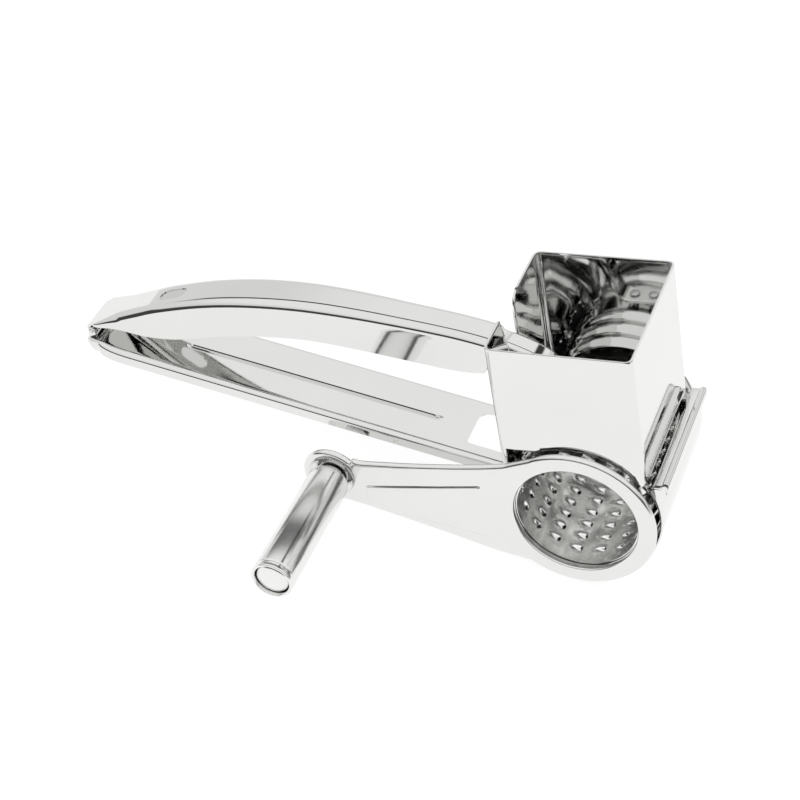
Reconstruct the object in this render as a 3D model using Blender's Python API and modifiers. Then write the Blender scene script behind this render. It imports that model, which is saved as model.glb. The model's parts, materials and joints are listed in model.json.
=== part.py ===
"""Rotary cheese grater in stainless steel: hopper on a long handle, hinged pusher handle, cranked drum.

The tool is drawn in its own upright frame, in millimetres, and everything hangs from one empty that
tilts it on to its resting points.  In the upright frame X runs from the handle to the drum, Y from the
crank to the back, Z up, and the origin is the drum's axis in the plane of the hopper's front wall.
"""
import math

import bmesh
import bpy
from mathutils import Matrix, Vector

MM = 0.001
GAP = 0.3
SHEET = 0.8

# Hopper
HOPPER_WIDTH = 50.0
HOPPER_DEPTH = 57.0
HOPPER_TOP = 68.0
HOPPER_FOOT = -12.0
HOPPER_CORNER = 2.6
FRONT_EDGE = 26.5
FRONT_ARCH = 28.6
SIDE_EDGE = 16.8

# Drum
DRUM_RADIUS = 22.6
DRUM_WALL = 0.7
DRUM_FRONT = -0.7
DRUM_BACK = 52.0
CRADLE_RADIUS = 29.0
BACK_PLATE_RADIUS = 28.4
AXLE_RADIUS = 3.0

# Crank and grip
RING_RADIUS = 28.3
ARM_FRONT = -3.4
ARM_BACK = -1.0
CRANK_REACH = 89.4
CRANK_ANGLE = 4.5
ARM_END_RADIUS = 11.0
GRIP_RADIUS = 7.5
GRIP_LENGTH = 52.0
PIN_RADIUS = 2.4

# Handles
HANDLE_MIDDLE = 24.6
LOWER_HALF_WIDTH = 15.0
LOWER_DEPTH = 4.6
LOWER_RISE = 0.23
LOWER_LEVEL = 3.0
HINGE_X = -186.0
HINGE_Z = 46.4
HINGE_PIN_RADIUS = 0.9
BARREL_RADIUS = 2.1
BARREL_LENGTH = 14.0
EAR_RADIUS = 2.4
UPPER_DEPTH = 14.6
ARM_HALF_WIDTH = 4.4

# Presser
PRESSER_RADIUS = 25.6
PRESSER_RIBS = 6
RIB_HEIGHT = 1.3
PAD_SEAT = 0.6
PAD_TOP = 30.0

TILT = CRANK_ANGLE + math.degrees(math.asin((CRADLE_RADIUS - ARM_END_RADIUS) / CRANK_REACH))

PIVOT_X = -CRANK_REACH * math.cos(math.radians(CRANK_ANGLE))
PIVOT_Z = CRANK_REACH * math.sin(math.radians(CRANK_ANGLE))
GRIP_START = ARM_FRONT - 2.2
GRIP_END = GRIP_START - GRIP_LENGTH

DRUM_AXIS = Vector((0, 0, 0))
HINGE_AXIS = Vector((HINGE_X, HANDLE_MIDDLE, HINGE_Z))
GRIP_AXIS = Vector((PIVOT_X, 0, PIVOT_Z))

for old in list(bpy.data.objects):
    bpy.data.objects.remove(old, do_unlink=True)

scene = bpy.context.scene
parts = bpy.data.collections.new("rotary_cheese_grater")
cutters = bpy.data.collections.new("cutters")
scene.collection.children.link(parts)
scene.collection.children.link(cutters)

frame = bpy.data.objects.new("grater_frame", None)
parts.objects.link(frame)


def steel(name, colour=(0.80, 0.80, 0.79), roughness=0.12, metallic=1.0):
    """A Principled material for one piece."""
    material = bpy.data.materials.new(name)
    material.use_nodes = True
    shader = material.node_tree.nodes["Principled BSDF"]
    shader.inputs["Base Color"].default_value = (*colour, 1)
    shader.inputs["Roughness"].default_value = roughness
    shader.inputs["Metallic"].default_value = metallic
    return material


def add_part(name, mesh, origin=DRUM_AXIS, **finish):
    """A named piece whose origin is a point of the upright frame."""
    mesh.transform(Matrix.Translation(-Vector(origin)))
    mesh.transform(Matrix.Scale(MM, 4))
    piece = bpy.data.objects.new(name, mesh)
    parts.objects.link(piece)
    piece.parent = frame
    piece.location = Vector(origin) * MM
    mesh.materials.append(steel(name + "_finish", **finish))
    mesh.shade_smooth()
    mesh.set_sharp_from_angle(angle=math.radians(35))
    return piece


def add_cutter(name, mesh, origin=DRUM_AXIS):
    mesh.transform(Matrix.Translation(-Vector(origin)))
    mesh.transform(Matrix.Scale(MM, 4))
    cutter = bpy.data.objects.new(name, mesh)
    cutters.objects.link(cutter)
    cutter.parent = frame
    cutter.location = Vector(origin) * MM
    cutter.hide_render = True
    cutter.display_type = "WIRE"
    return cutter


def boolean(piece, cutter, operation="DIFFERENCE"):
    step = piece.modifiers.new(cutter.name, "BOOLEAN")
    step.operation = operation
    step.object = cutter


def thicken(piece):
    """Gives an open sheet its thickness, on the inner side."""
    step = piece.modifiers.new("sheet", "SOLIDIFY")
    step.thickness = SHEET * MM
    step.offset = -1.0
    step.use_even_offset = True


def to_mesh(bm, name, closed=True):
    if closed:
        bmesh.ops.recalc_face_normals(bm, faces=bm.faces)
    mesh = bpy.data.meshes.new(name)
    bm.to_mesh(mesh)
    bm.free()
    return mesh


def arc(cx, cz, radius, start, end, count):
    """Points of an arc, angles in degrees from +X towards +Z."""
    steps = (math.radians(start + (end - start) * i / count) for i in range(count + 1))
    return [(cx + radius * math.cos(a), cz + radius * math.sin(a)) for a in steps]


def prism(name, outline, low, high, along="Y"):
    """A closed outline drawn in the plane across `along`, pulled from low to high."""
    bm = bmesh.new()
    if along == "Y":
        corners = [bm.verts.new((a, low, b)) for a, b in outline]
        pull = Vector((0, high - low, 0))
    elif along == "X":
        corners = [bm.verts.new((low, a, b)) for a, b in outline]
        pull = Vector((high - low, 0, 0))
    else:
        corners = [bm.verts.new((a, b, low)) for a, b in outline]
        pull = Vector((0, 0, high - low))
    face = bm.faces.new(corners)
    grown = bmesh.ops.extrude_face_region(bm, geom=[face])["geom"]
    bmesh.ops.translate(bm, vec=pull, verts=[v for v in grown if isinstance(v, bmesh.types.BMVert)])
    return to_mesh(bm, name)


def turned(name, profile, segments=48, centre=(0, 0)):
    """A solid of revolution about an axis along Y: profile points are (radius, y), a closed loop."""
    bm = bmesh.new()
    rings = []
    for i in range(segments):
        a = 2 * math.pi * i / segments
        rings.append([bm.verts.new((centre[0] + r * math.cos(a), y, centre[1] + r * math.sin(a)))
                      if r > 0 else None for r, y in profile])
    poles = {j: bm.verts.new((centre[0], y, centre[1])) for j, (r, y) in enumerate(profile) if r == 0}
    for i in range(segments):
        here, there = rings[i], rings[(i + 1) % segments]
        for j in range(len(profile)):
            k = (j + 1) % len(profile)
            corners = [here[j] or poles[j], here[k] or poles[k], there[k] or poles[k], there[j] or poles[j]]
            unique = list(dict.fromkeys(corners))
            if len(unique) > 2:
                bm.faces.new(unique)
    return to_mesh(bm, name)


def swept_sheet(name, stations):
    """An open sheet lofted through stations; its face is on the left of the stations' points."""
    bm = bmesh.new()
    rows = [[bm.verts.new(p) for p in station] for station in stations]
    for first, second in zip(rows, rows[1:]):
        for i in range(len(first) - 1):
            bm.faces.new((first[i], first[i + 1], second[i + 1], second[i]))
    return to_mesh(bm, name, closed=False)


def smooth_path(points, per_span):
    """Catmull-Rom points through a list of tuples of any length."""
    path = []
    last = len(points) - 1
    for i in range(last):
        p0, p1, p2, p3 = (points[max(0, min(last, i + k))] for k in (-1, 0, 1, 2))
        for step in range(per_span):
            t = step / per_span
            path.append(tuple(
                0.5 * (2 * b + (c - a) * t + (2 * a - 5 * b + 4 * c - d) * t ** 2
                       + (3 * b - a - 3 * c + d) * t ** 3)
                for a, b, c, d in zip(p0, p1, p2, p3)))
    path.append(points[last])
    return path


def channel(path, radius=2.4, corner=3):
    """Stations of a channel that opens downward, from path points (x, z, half width, depth, bead)."""
    stations = []
    last = len(path) - 1
    for i, (x, z, half, depth, bead) in enumerate(path):
        before, after = path[max(0, i - 1)], path[min(last, i + 1)]
        run = Vector((after[0] - before[0], 0, after[1] - before[1])).normalized()
        up = Vector((-run.z, 0, run.x))
        r = min(radius, 0.6 * depth, 0.45 * half)
        side = [(half, -depth)]
        side += [(half - r + r * math.cos(a), -r + r * math.sin(a))
                 for a in (0.5 * math.pi * k / corner for k in range(corner + 1))]
        groove = [(1.3, 0.0), (0.0, -bead), (-1.3, 0.0)]
        section = side + groove + [(-y, n) for y, n in reversed(side)]
        stations.append([Vector((x, HANDLE_MIDDLE + y, z)) + up * n for y, n in section])
    return stations


def rivet(name, centre, axis, grip, radius=1.6, origin=DRUM_AXIS):
    """A dome headed rivet; grip is the thickness of the sheets between its two heads."""
    head = 0.45 * radius
    profile = [(0, -head)] + [(1.6 * radius * math.sin(a), -head * math.cos(a))
                              for a in (math.radians(30), math.radians(60), math.radians(90))]
    profile += [(radius, 0), (radius, grip), (1.6 * radius, grip), (1.2 * radius, grip + head),
                (0, grip + head)]
    mesh = turned(name, profile, segments=12)
    turn = Vector((0, 1, 0)).rotation_difference(Vector(axis)).to_matrix().to_4x4()
    mesh.transform(Matrix.Translation(Vector(centre)) @ turn)
    return add_part(name, mesh, origin, roughness=0.2)


def rivet_hole(name, centre, axis, radius=1.9, reach=4.0, origin=DRUM_AXIS):
    mesh = turned(name, [(0, -reach), (radius, -reach), (radius, reach), (0, reach)], segments=12)
    turn = Vector((0, 1, 0)).rotation_difference(Vector(axis)).to_matrix().to_4x4()
    mesh.transform(Matrix.Translation(Vector(centre)) @ turn)
    return add_cutter(name, mesh, origin)


def plate_height(x):
    """Height of the lower handle's top face."""
    return LOWER_LEVEL - LOWER_RISE * x


# Where sheets are riveted together: (y, z) on the left wall, (x, z) on the back wall
TONGUE_RIVETS = [(HANDLE_MIDDLE - 11.0, 16.0), (HANDLE_MIDDLE + 11.0, 16.0)]
CRADLE_RIVETS = [(9.0, -7.5), (48.0, -7.5)]
BACK_RIVETS = [(-14.0, 19.0), (14.0, 19.0), (-14.0, -8.0), (14.0, -8.0)]
PRESSER_RIVETS = [(-1.0, HANDLE_MIDDLE), (6.0, HANDLE_MIDDLE)]
LEFT_FACE = -HOPPER_WIDTH / 2


def hopper_shell():
    """Four walls folded from one sheet; the left one has the pusher's slot."""
    half, back, r = HOPPER_WIDTH / 2, HOPPER_DEPTH, HOPPER_CORNER
    outline = (arc(half - r, r, r, -90, 0, 4) + arc(half - r, back - r, r, 0, 90, 4)
               + arc(-half + r, back - r, r, 90, 180, 4) + arc(-half + r, r, r, 180, 270, 4))
    bm = bmesh.new()
    rows = [[bm.verts.new((x, y, z)) for x, y in outline] for z in (HOPPER_FOOT, HOPPER_TOP)]
    count = len(outline)
    for i in range(count):
        j = (i + 1) % count
        bm.faces.new((rows[0][i], rows[0][j], rows[1][j], rows[1][i]))
    shell = add_part("hopper_shell", to_mesh(bm, "hopper_shell", closed=False))
    thicken(shell)

    start = 180 - math.degrees(math.asin(FRONT_EDGE / FRONT_ARCH))
    arch = [(-30, -20), (-30, FRONT_EDGE)] + arc(0, 0, FRONT_ARCH, start, 26, 14) + [(30, -20)]
    boolean(shell, add_cutter("front_arch", prism("front_arch", arch, -2, HOPPER_CORNER + 0.6)))
    side = [(-2, -20), (-2, SIDE_EDGE), (40, SIDE_EDGE)] + arc(44, SIDE_EDGE - 8, 8, 85, 0, 5) + [(52, -20)]
    boolean(shell, add_cutter("side_gap", prism("side_gap", side, 20, 30, "X")))
    y0 = HANDLE_MIDDLE - ARM_HALF_WIDTH - 0.9
    y1 = HANDLE_MIDDLE + ARM_HALF_WIDTH + 0.7
    slot = [(y0 - 3.6, 72), (y0 - 3.0, 67.0), (y0 - 2.0, 64.0), (y0, 56.5), (y0, 47.0), (y0 + 1.2, 45.8),
            (y1 - 1.2, 45.8), (y1, 47.0), (y1, 62.5), (y1 + 0.6, 65.0), (y1 + 2.2, 66.8), (y1 + 5, 68.0),
            (y1 + 5, 72)]
    boolean(shell, add_cutter("pusher_slot", prism("pusher_slot", slot, -30, -20, "X")))
    bore = turned("bearing_bore", [(0, 50), (6.4, 50), (6.4, 60), (0, 60)], segments=24)
    boolean(shell, add_cutter("bearing_bore", bore))
    for i, (y, z) in enumerate(TONGUE_RIVETS + CRADLE_RIVETS):
        boolean(shell, rivet_hole(f"left_hole_{i + 1}", (LEFT_FACE, y, z), (1, 0, 0)))
    for i, (x, z) in enumerate(BACK_RIVETS):
        boolean(shell, rivet_hole(f"back_hole_{i + 1}", (x, HOPPER_DEPTH, z), (0, 1, 0)))
    return shell


def drum_cradle():
    """The half round sheet under the drum, with a rolled lip along its right edge."""
    r = CRADLE_RADIUS
    wall = LEFT_FACE - GAP - SHEET
    start = 180 + math.degrees(math.acos(-wall / r))
    profile = [(wall, -3.5), (wall, -6.5)] + arc(0, 0, r, start, 386, 30)
    profile += [(28.2, 14.6), (30.4, 15.0), (31.6, 14.5), (32.2, 13.3), (32.0, 11.8)]
    stations = [[(x, y, z) for x, z in profile] for y in (HOPPER_DEPTH - 0.2, 2.6)]
    cradle = add_part("drum_cradle", swept_sheet("drum_cradle", stations))
    thicken(cradle)
    for i, (y, z) in enumerate(CRADLE_RIVETS):
        boolean(cradle, rivet_hole(f"cradle_hole_{i + 1}", (LEFT_FACE, y, z), (1, 0, 0)))
    return cradle


def rear_cover():
    """Dished round plate behind the back wall that carries the drum's bearing."""
    r, y = BACK_PLATE_RADIUS, HOPPER_DEPTH + GAP
    lip = [(r - 1.0, y), (r - 0.3, y + 0.3), (r, y + 1.0), (r, y + 3.4), (r - SHEET, y + 3.4),
           (r - SHEET, y + 1.2), (r - 1.2, y + SHEET)]
    profile = [(6.4, y)] + lip + [(9.6, y + SHEET), (8.6, y + 1.8), (6.4, y + 1.8)]
    cover = add_part("rear_cover", turned("rear_cover", profile, 44))
    for i, (x, z) in enumerate(BACK_RIVETS):
        boolean(cover, rivet_hole(f"cover_hole_{i + 1}", (x, HOPPER_DEPTH, z), (0, 1, 0)))
    return cover


def rear_bearing():
    """Flanged bush in the rear cover, and the washer and push nut that hold the axle in it."""
    y = HOPPER_DEPTH
    inner, outer = AXLE_RADIUS + GAP, 6.4 - GAP
    bush = [(inner, y - 2.4), (outer + 2.0, y - 2.4), (outer + 2.0, y - SHEET - GAP),
            (outer, y - SHEET - GAP), (outer, y + 3.2), (inner, y + 3.2)]
    add_part("rear_bearing_bush", turned("rear_bearing_bush", bush, 24),
             colour=(0.62, 0.60, 0.56), roughness=0.35)
    washer = [(inner, y + 3.5), (6.0, y + 3.5), (6.0, y + 4.1), (inner, y + 4.1)]
    add_part("axle_washer", turned("axle_washer", washer, 24), roughness=0.2)
    dome = [(inner - 0.1, y + 4.4), (5.2, y + 4.4), (5.2, y + 5.0), (4.6, y + 6.2), (3.4, y + 7.0),
            (0, y + 7.4), (0, y + 6.6), (inner - 0.1, y + 6.6)]
    add_part("axle_cap_nut", turned("axle_cap_nut", dome, 24), roughness=0.15)


def lower_handle():
    """Wide downward channel from the hinge to the hopper's left wall."""
    full, depth = LOWER_HALF_WIDTH, LOWER_DEPTH
    root = LEFT_FACE - GAP - 1.4
    bead = 1.1
    points = [(-187.6, 39.6, 8.6, 0.9, 0.0), (-187.3, 41.4, 9.4, 1.6, 0.0), (-186.2, 42.9, 10.6, 2.6, 0.0),
              (-184.2, 44.1, 12.0, 3.4, 0.0), (-181.0, plate_height(-181.0) - 0.1, 13.4, 4.2, 0.0),
              (-176.0, plate_height(-176.0), 14.6, depth, 0.0)]
    points += [(x, plate_height(x), full, depth, b) for x, b in
               ((-166, 0.0), (-156, 0.0), (-150, bead), (-128, bead), (-104, bead), (-80, bead),
                (-61, bead), (-54.5, 0.0), (-40, 0.0))]
    points += [(root - 1.5, plate_height(root - 1.5), full, depth, 0.0)]
    sheet = swept_sheet("lower_handle", channel(points, radius=2.2))
    handle = add_part("lower_handle", sheet, roughness=0.1)
    thicken(handle)

    tongue_foot = plate_height(root) - 0.5
    left = HANDLE_MIDDLE - full + 0.6
    right = HANDLE_MIDDLE + full - 0.6
    tongue = [(left, tongue_foot - 0.2), (right, tongue_foot - 0.2), (right, 17.0)]
    tongue += arc(right - 4, 17, 4, 0, 90, 4) + arc(left + 4, 17, 4, 90, 180, 4)
    x0 = LEFT_FACE - GAP - SHEET
    boolean(handle, add_cutter("tongue", prism("tongue", tongue, x0, x0 + SHEET, "X")), "UNION")
    link = [(root - 2.4, plate_height(root - 2.4) - 0.05), (x0 + 0.4, tongue_foot + 0.45),
            (x0 + 0.4, tongue_foot - 0.1), (root - 2.4, plate_height(root - 2.4) - 0.75)]
    boolean(handle, add_cutter("tongue_fold", prism("tongue_fold", link, left + 0.3, right - 0.3)), "UNION")
    for side, y in (("front", HANDLE_MIDDLE - 8.4), ("rear", HANDLE_MIDDLE + 7.6)):
        ear = [(-184.0, 42.0), (-184.0, 44.4)] + arc(HINGE_X, HINGE_Z, EAR_RADIUS, -12, 192, 12)
        ear += [(-187.4, 43.4), (-187.0, 41.4)]
        boolean(handle, add_cutter("ear_" + side, prism("ear_" + side, ear, y, y + SHEET)), "UNION")

    window = arc(-39.4, 29.2, 4.6, 180, 90, 5) + [(-28.6, 33.8), (-28.6, 16.0)]
    window += arc(-42.4, 17.6, 1.6, 270, 180, 3)
    boolean(handle, add_cutter("window", prism("window", window, 0, 25, "Z")))
    bore = HINGE_PIN_RADIUS + GAP
    pin = turned("hinge_bore", [(0, -14), (bore, -14), (bore, 14), (0, 14)], segments=16)
    pin.transform(Matrix.Translation(HINGE_AXIS))
    boolean(handle, add_cutter("hinge_bore", pin))
    for i, (y, z) in enumerate(TONGUE_RIVETS):
        boolean(handle, rivet_hole(f"tongue_hole_{i + 1}", (LEFT_FACE, y, z), (1, 0, 0)))
    return handle


def hinge_pin():
    """Pin through the lower handle's ears, with the barrel that turns on it."""
    shaft = HINGE_PIN_RADIUS
    head = shaft + 0.9
    low, high = HANDLE_MIDDLE - 8.8, HANDLE_MIDDLE + 9.3
    profile = [(0, low - 0.7), (head - 0.5, low - 0.7), (head, low - 0.3), (head, low), (shaft, low),
               (shaft, high), (0, high)]
    add_part("hinge_pin", turned("hinge_pin", profile, 20, (HINGE_X, HINGE_Z)), roughness=0.2)
    low, high = HANDLE_MIDDLE - BARREL_LENGTH / 2, HANDLE_MIDDLE + BARREL_LENGTH / 2
    profile = [(shaft + GAP, low), (BARREL_RADIUS, low), (BARREL_RADIUS, high), (shaft + GAP, high)]
    barrel = turned("hinge_barrel", profile, 20, (HINGE_X, HINGE_Z))
    add_part("hinge_barrel", barrel, HINGE_AXIS, roughness=0.15)


def upper_handle():
    """Arched channel that narrows to a strip, goes through the hopper's slot and ends in a pad."""
    arch = [(-183.4, 49.6, 8.3, 2.3), (-176, 52.8, 8.5, 5.0), (-166, 56.2, 8.5, 10.6),
            (-154.5, 59.8, 8.5, 14.0), (-136, 63.8, 8.5, UPPER_DEPTH),
            (-117, 65.9, 8.5, UPPER_DEPTH), (-98, 66.1, 8.2, UPPER_DEPTH),
            (-80, 64.6, 7.7, UPPER_DEPTH + 0.6), (-62, 62.1, 7.1, UPPER_DEPTH + 1.2),
            (-45, 59.5, 6.8, UPPER_DEPTH + 1.4), (-33, 57.0, 6.7, UPPER_DEPTH - 0.6)]
    strip = [(-27.4, 55.5, 4.2), (-22, 53.6, 4.0), (-15, 50.4, 3.8), (-10, 46.6, 3.2), (-7.4, 41, 2.4),
             (-6.4, 35.0, 1.8), (-5.2, 31.6, 1.2), (-3.4, PAD_TOP, 0.9), (3.0, PAD_TOP, 0.9),
             (9.0, PAD_TOP, 0.9)]
    wide = smooth_path(arch, 2) + [(-29.2, 56.0, 6.6, UPPER_DEPTH - 1.4)]
    path = [(x, z, half, depth, 0.0) for x, z, half, depth in wide]
    path += [(x, z, ARM_HALF_WIDTH, depth, 0.0) for x, z, depth in strip]
    sheet = swept_sheet("upper_handle", channel(path, radius=2.8))
    handle = add_part("upper_handle", sheet, HINGE_AXIS, roughness=0.1)
    thicken(handle)
    hole = arc(-158 + 3, HANDLE_MIDDLE, 3, 90, 270, 8) + arc(-147 - 3, HANDLE_MIDDLE, 3, -90, 90, 8)
    boolean(handle, add_cutter("hang_hole", prism("hang_hole", hole, 54, 70, "Z"), HINGE_AXIS))
    for i, (x, y) in enumerate(PRESSER_RIVETS):
        boolean(handle, rivet_hole(f"pad_hole_{i + 1}", (x, y, 30), (0, 0, 1), 1.5, 5, HINGE_AXIS))
    return handle


def presser_plate():
    """Curved plate over the drum, pressed with ribs that run round it."""
    along = 36
    y_start, y_end = 4.6, 51.8
    stations = []
    for i in range(along + 1):
        y = y_start + (y_end - y_start) * i / along
        wave = 0.5 - 0.5 * math.cos(2 * math.pi * PRESSER_RIBS * i / along)
        flat = abs(y - HANDLE_MIDDLE) < ARM_HALF_WIDTH + 0.6
        lift = PAD_SEAT if flat else RIB_HEIGHT * wave
        ring = arc(0, 0, PRESSER_RADIUS + SHEET + lift, 144, 38, 10)
        stations.append([(x, y, z) for x, z in ring])
    plate = add_part("presser_plate", swept_sheet("presser_plate", stations), HINGE_AXIS, roughness=0.12)
    thicken(plate)
    for i, (x, y) in enumerate(PRESSER_RIVETS):
        boolean(plate, rivet_hole(f"plate_hole_{i + 1}", (x, y, 27), (0, 0, 1), 1.5, 5, HINGE_AXIS))
    return plate


def drum():
    """Grating drum: perforated barrel, back disc and the square shouldered axle."""
    r, t = DRUM_RADIUS, DRUM_WALL
    rim = 1.6
    profile = [(r - t, DRUM_FRONT), (r, DRUM_FRONT), (r, DRUM_BACK), (r - t, DRUM_BACK)]
    barrel = add_part("drum_barrel", turned("drum_barrel", profile, 45), roughness=0.2)
    bm = bmesh.new()
    rows, columns = 7, 9
    for row in range(rows):
        y = DRUM_FRONT + 7.5 + row * 6.2
        for column in range(columns):
            a = 2 * math.pi * (column + 0.5 * (row % 2) + 0.25) / columns
            slot = [(1.0, -2.4), (1.0, 2.4), (-1.0, 2.4), (-1.0, -2.4)]
            low, high = [], []
            for dy, dc in slot:
                turn = a + dc / r
                for reach, bag in ((r - 2, low), (r + 1, high)):
                    bag.append(bm.verts.new((reach * math.cos(turn), y + dy, reach * math.sin(turn))))
            bm.faces.new(low)
            bm.faces.new(high[::-1])
            for k in range(4):
                bm.faces.new((low[k], high[k], high[(k + 1) % 4], low[(k + 1) % 4]))
    boolean(barrel, add_cutter("drum_teeth", to_mesh(bm, "drum_teeth")))

    y = DRUM_BACK - 1.4
    disc = [(AXLE_RADIUS + GAP, y), (r - t - GAP, y), (r - t - GAP, y + 1.0), (AXLE_RADIUS + GAP, y + 1.0)]
    add_part("drum_back_disc", turned("drum_back_disc", disc, 40), roughness=0.18)
    shoulder = AXLE_RADIUS + 2.6
    axle = [(0, y - 3.0), (shoulder - 1.2, y - 3.0), (shoulder, y - 2.2), (shoulder, y - GAP),
            (AXLE_RADIUS, y - GAP), (AXLE_RADIUS, HOPPER_DEPTH + 6.2), (0, HOPPER_DEPTH + 6.2)]
    add_part("drum_axle", turned("drum_axle", axle, 24), roughness=0.2)
    bore, low, high = AXLE_RADIUS + GAP, y + 1.0 + GAP, HOPPER_DEPTH - 2.4 - GAP
    collar = [(bore, low), (shoulder, low), (shoulder, high), (bore, high)]
    add_part("drum_spacer", turned("drum_spacer", collar, 24), roughness=0.25)
    band = [(r + GAP, -0.7), (r + GAP + rim, -0.7), (r + GAP + rim, 1.4), (r + GAP, 1.4)]
    add_part("drum_rim_band", turned("drum_rim_band", band, 40), roughness=0.15)


def crank_outline():
    """Outline of ring and arm, anticlockwise from the arm's lower root."""
    end = ARM_END_RADIUS
    outline = arc(0, 0, RING_RADIUS, -130, 118, 28)
    outline += [(-22.5, 21.4), (-38.0, 18.6), (-56.0, 16.4), (-70.0, 15.2), (-76.5, 14.8), (-79.6, 15.2)]
    outline += arc(PIVOT_X, PIVOT_Z, end, 42, 285, 16)
    outline += [(-82.0, -4.6), (-72.0, -7.2), (-48.0, -14.0), (-30.0, -19.4)]
    return outline


def crank():
    """Ring round the drum's mouth with its arm, the pin it carries and the turning grip."""
    curve = bpy.data.curves.new("crank_arm", "CURVE")
    curve.dimensions = "2D"
    curve.fill_mode = "BOTH"
    bevel = 0.5
    curve.bevel_depth = bevel * MM
    curve.bevel_resolution = 1
    curve.extrude = ((ARM_BACK - ARM_FRONT) / 2 - bevel) * MM
    curve.offset = -bevel * MM
    loops = [crank_outline(), arc(0, 0, DRUM_RADIUS - DRUM_WALL, 0, 351, 39),
             arc(PIVOT_X, PIVOT_Z, PIN_RADIUS + GAP, 0, 330, 11)]
    for loop in loops:
        spline = curve.splines.new("POLY")
        spline.points.add(len(loop) - 1)
        for point, (x, z) in zip(spline.points, loop):
            point.co = (x * MM, z * MM, 0, 1)
        spline.use_cyclic_u = True
    arm = bpy.data.objects.new("crank_arm", curve)
    parts.objects.link(arm)
    arm.parent = frame
    arm.rotation_euler = (math.radians(90), 0, 0)
    arm.location = (0, (ARM_FRONT + ARM_BACK) / 2 * MM, 0)
    curve.materials.append(steel("crank_arm_finish", roughness=0.1))

    centre = (PIVOT_X, PIVOT_Z)
    r, p = GRIP_RADIUS, PIN_RADIUS
    pin = [(0, ARM_BACK + 1.4), (p + 1.0, ARM_BACK + 1.4), (p + 2.0, ARM_BACK + 0.8),
           (p + 2.0, ARM_BACK + GAP), (p, ARM_BACK + GAP), (p, GRIP_END + 7.4), (0, GRIP_END + 7.4)]
    add_part("grip_pin", turned("grip_pin", pin[::-1], 20, centre), roughness=0.2)
    washer = [(p + GAP, ARM_FRONT - GAP), (p + GAP, ARM_FRONT - 1.2), (5.6, ARM_FRONT - 1.2),
              (5.6, ARM_FRONT - GAP)]
    add_part("grip_washer", turned("grip_washer", washer, 24, centre), roughness=0.2)
    clip = [(p - 0.1 + GAP, GRIP_END + 8.2), (p + 1.9, GRIP_END + 8.2), (p + 1.9, GRIP_END + 9.2),
            (p - 0.1 + GAP, GRIP_END + 9.2)]
    add_part("pin_clip", turned("pin_clip", clip, 20, centre), roughness=0.25)

    def grip_part(name, profile, segments, **finish):
        add_part(name, turned(name, profile, segments, centre), GRIP_AXIS, **finish)

    wall = 0.8
    tube = [(r - 0.5, GRIP_START), (r, GRIP_START - 0.5), (r, GRIP_END + 2.6),
            (r - 0.5, GRIP_END + 1.2), (r - 0.7, GRIP_END + 0.5), (r - 1.1, GRIP_END),
            (r - 1.6, GRIP_END + 0.3), (r - 1.5, GRIP_END + 1.2),
            (r - wall - 0.5, GRIP_END + 2.8), (r - wall, GRIP_END + 3.6), (r - wall, GRIP_START - 0.3),
            (r - wall + 0.1, GRIP_START)]
    grip_part("grip_tube", tube, 28, roughness=0.1)
    inner, outer = p + GAP, r - wall - GAP
    for name, near, far in (("grip_bush_inner", GRIP_START - 1.0, GRIP_START - 6.0),
                            ("grip_bush_outer", GRIP_END + 15.5, GRIP_END + 10.5)):
        bush = [(inner, near), (outer, near), (outer, far), (inner, far)]
        grip_part(name, bush, 24, colour=(0.86, 0.86, 0.84), roughness=0.45, metallic=0.0)
    cap = [(0, GRIP_END + 0.9), (2.4, GRIP_END + 1.1), (4.4, GRIP_END + 1.7), (5.5, GRIP_END + 2.6),
           (5.5, GRIP_END + 6.4), (4.9, GRIP_END + 6.4), (4.9, GRIP_END + 3.0), (3.8, GRIP_END + 2.4),
           (0, GRIP_END + 1.8)]
    grip_part("grip_end_cap", cap, 24, roughness=0.15)


def fasteners():
    tongue = 2 * SHEET + GAP
    for i, (y, z) in enumerate(TONGUE_RIVETS):
        rivet(f"handle_rivet_{i + 1}", (LEFT_FACE - GAP - SHEET - GAP, y, z), (1, 0, 0), tongue + 2 * GAP)
    for i, (y, z) in enumerate(CRADLE_RIVETS):
        rivet(f"cradle_rivet_{i + 1}", (LEFT_FACE - 2 * GAP - SHEET, y, z), (1, 0, 0), tongue + 2 * GAP)
    for i, (x, z) in enumerate(BACK_RIVETS):
        rivet(f"cover_rivet_{i + 1}", (x, HOPPER_DEPTH - SHEET - GAP, z), (0, 1, 0), tongue + 2 * GAP)
    under = PRESSER_RADIUS + PAD_SEAT
    for i, (x, y) in enumerate(PRESSER_RIVETS):
        tail = math.sqrt(under ** 2 - (abs(x) + 1.6 * 1.2) ** 2) - GAP
        rivet(f"presser_rivet_{i + 1}", (x, y, PAD_TOP + GAP), (0, 0, -1), PAD_TOP + GAP - tail, 1.2,
              HINGE_AXIS)


def rest_on_the_table():
    """Tilts the tool until arm end and cradle share a level, and centres it over the origin."""
    frame.rotation_euler = (0, -math.radians(TILT), 0)
    bpy.context.view_layer.update()
    graph = bpy.context.evaluated_depsgraph_get()
    low, high = Vector((1e9,) * 3), Vector((-1e9,) * 3)
    for piece in parts.objects:
        if piece.type == "EMPTY":
            continue
        solid = piece.evaluated_get(graph)
        mesh = solid.to_mesh()
        for vertex in mesh.vertices:
            point = solid.matrix_world @ vertex.co
            low = Vector(map(min, low, point))
            high = Vector(map(max, high, point))
        solid.to_mesh_clear()
    frame.location = (-(low.x + high.x) / 2, -(low.y + high.y) / 2, -low.z)
    bpy.context.view_layer.update()


hopper_shell()
drum_cradle()
rear_cover()
rear_bearing()
lower_handle()
hinge_pin()
upper_handle()
presser_plate()
drum()
crank()
fasteners()
rest_on_the_table()
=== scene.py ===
"""Visual model of the rotary cheese grater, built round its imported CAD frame."""

import json
import math

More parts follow.
